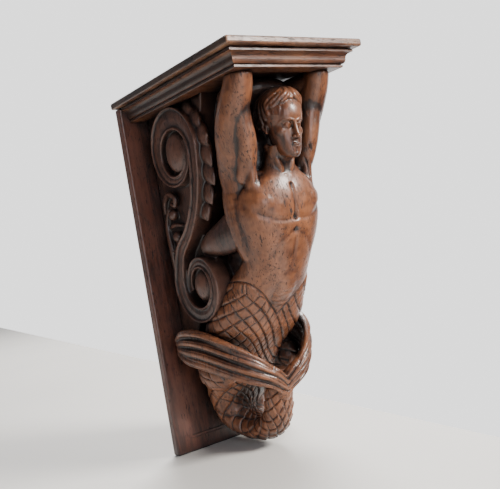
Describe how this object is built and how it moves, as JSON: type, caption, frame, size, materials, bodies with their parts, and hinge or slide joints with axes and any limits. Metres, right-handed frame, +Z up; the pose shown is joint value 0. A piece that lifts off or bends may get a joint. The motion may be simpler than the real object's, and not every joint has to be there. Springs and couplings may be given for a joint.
{
  "type": "wooden corbel bracket",
  "caption": "Carved wooden corbel: a framed back board, a moulded cap, scrolled sides, and a merman who holds the cap up on his raised arms.",
  "frame": {"origin": "on the back board's rear face, in the middle of its width and halfway up the corbel's height", "axes": "+Z up, +Y into the wall, so the merman faces -Y; +X is to the right for someone who faces him"},
  "size_m": [0.142, 0.208, 0.35],
  "materials": {
    "board_wood": "dark stained open-pored wood under satin varnish",
    "slab_wood": "brown stained wood under satin varnish, worn paler on the front edge",
    "moulding_wood": "brown stained wood under satin varnish, dark in the grooves",
    "carving_wood": "brown stained wood under glossy varnish, antiqued near black in the hollows"
  },
  "bodies": {
    "root": {"back_board": "board_wood", "cap_slab": "slab_wood", "cap_moulding": "moulding_wood", "carved_body": "carving_wood"}
  },
  "joints": []
}
